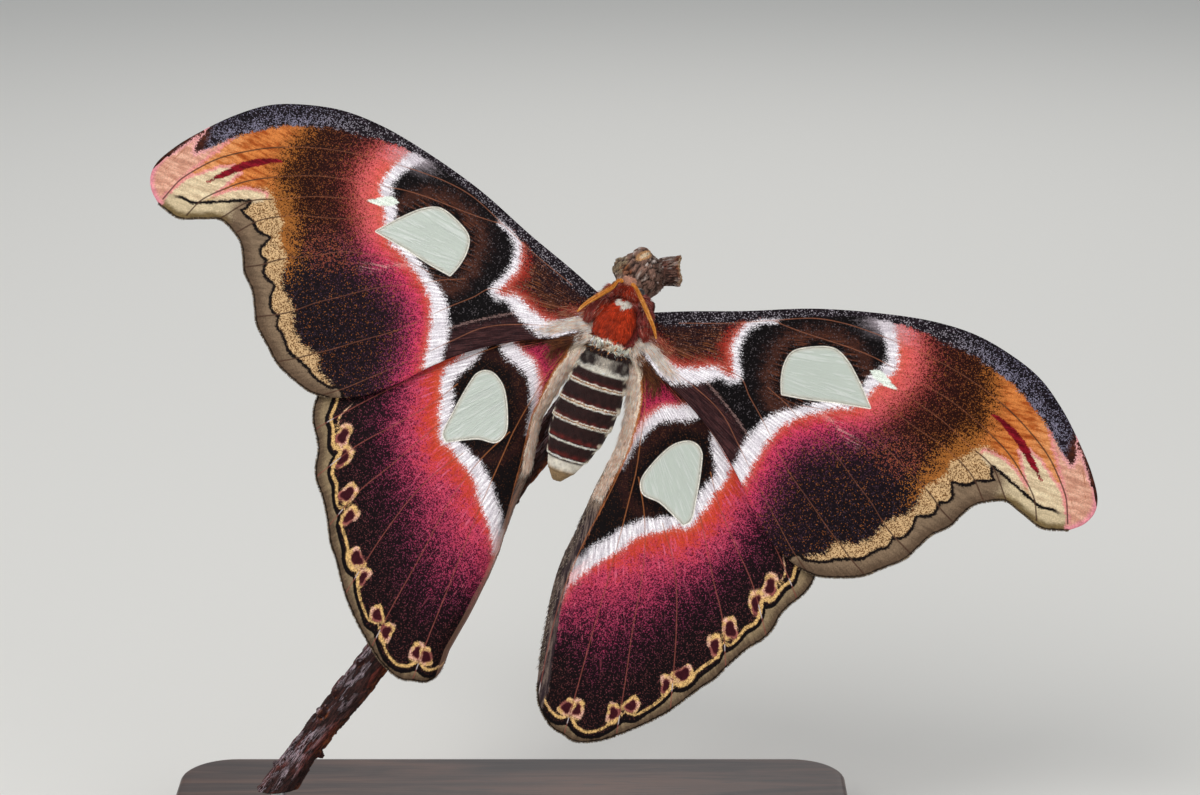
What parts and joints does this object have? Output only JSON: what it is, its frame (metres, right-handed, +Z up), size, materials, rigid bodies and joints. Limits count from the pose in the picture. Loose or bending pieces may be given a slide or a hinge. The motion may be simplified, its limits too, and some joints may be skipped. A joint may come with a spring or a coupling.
{
  "type": "atlas moth model on a perch",
  "caption": "Life-size atlas moth with spread wings gripping a short cut twig, held by one rod above a flat base.",
  "frame": {"origin": "middle of the stand base's underside", "axes": "+Z up, -Y out of the moth's back towards a viewer in front, +X towards the moth's right wing"},
  "size_m": [0.2021, 0.084, 0.1637],
  "materials": {
    "wing_scales": "matt scales, dark red, brown and black with white bands",
    "wing_pane": "thin clear membrane, faintly milky",
    "red_fur": "short orange-red fur",
    "abdomen_fur": "dark brown fur with pale rings",
    "antenna": "matt orange-yellow",
    "eye": "glossy black-brown",
    "leg": "short dark red fur",
    "bark": "rough dark red-brown bark",
    "base_wood": "dark stained wood, satin",
    "rod_metal": "satin steel"
  },
  "bodies": {
    "root": {"head": "red_fur", "thorax": "red_fur", "tegula_left": "red_fur", "tegula_right": "red_fur", "abdomen": "abdomen_fur", "eye_left": "eye", "eye_right": "eye", "antenna_left": "antenna", "antenna_right": "antenna", "forewing_left": "wing_scales", "forewing_right": "wing_scales", "hindwing_left": "wing_scales", "hindwing_right": "wing_scales", "forewing_pane_left": "wing_pane", "forewing_pane_right": "wing_pane", "hindwing_pane_left": "wing_pane", "hindwing_pane_right": "wing_pane", "leg_front_left": "leg", "leg_front_right": "leg", "leg_middle_left": "leg", "leg_middle_right": "leg", "leg_hind_left": "leg", "leg_hind_right": "leg", "perch_twig": "bark", "stand_base": "base_wood", "stand_rod": "rod_metal"}
  },
  "joints": []
}
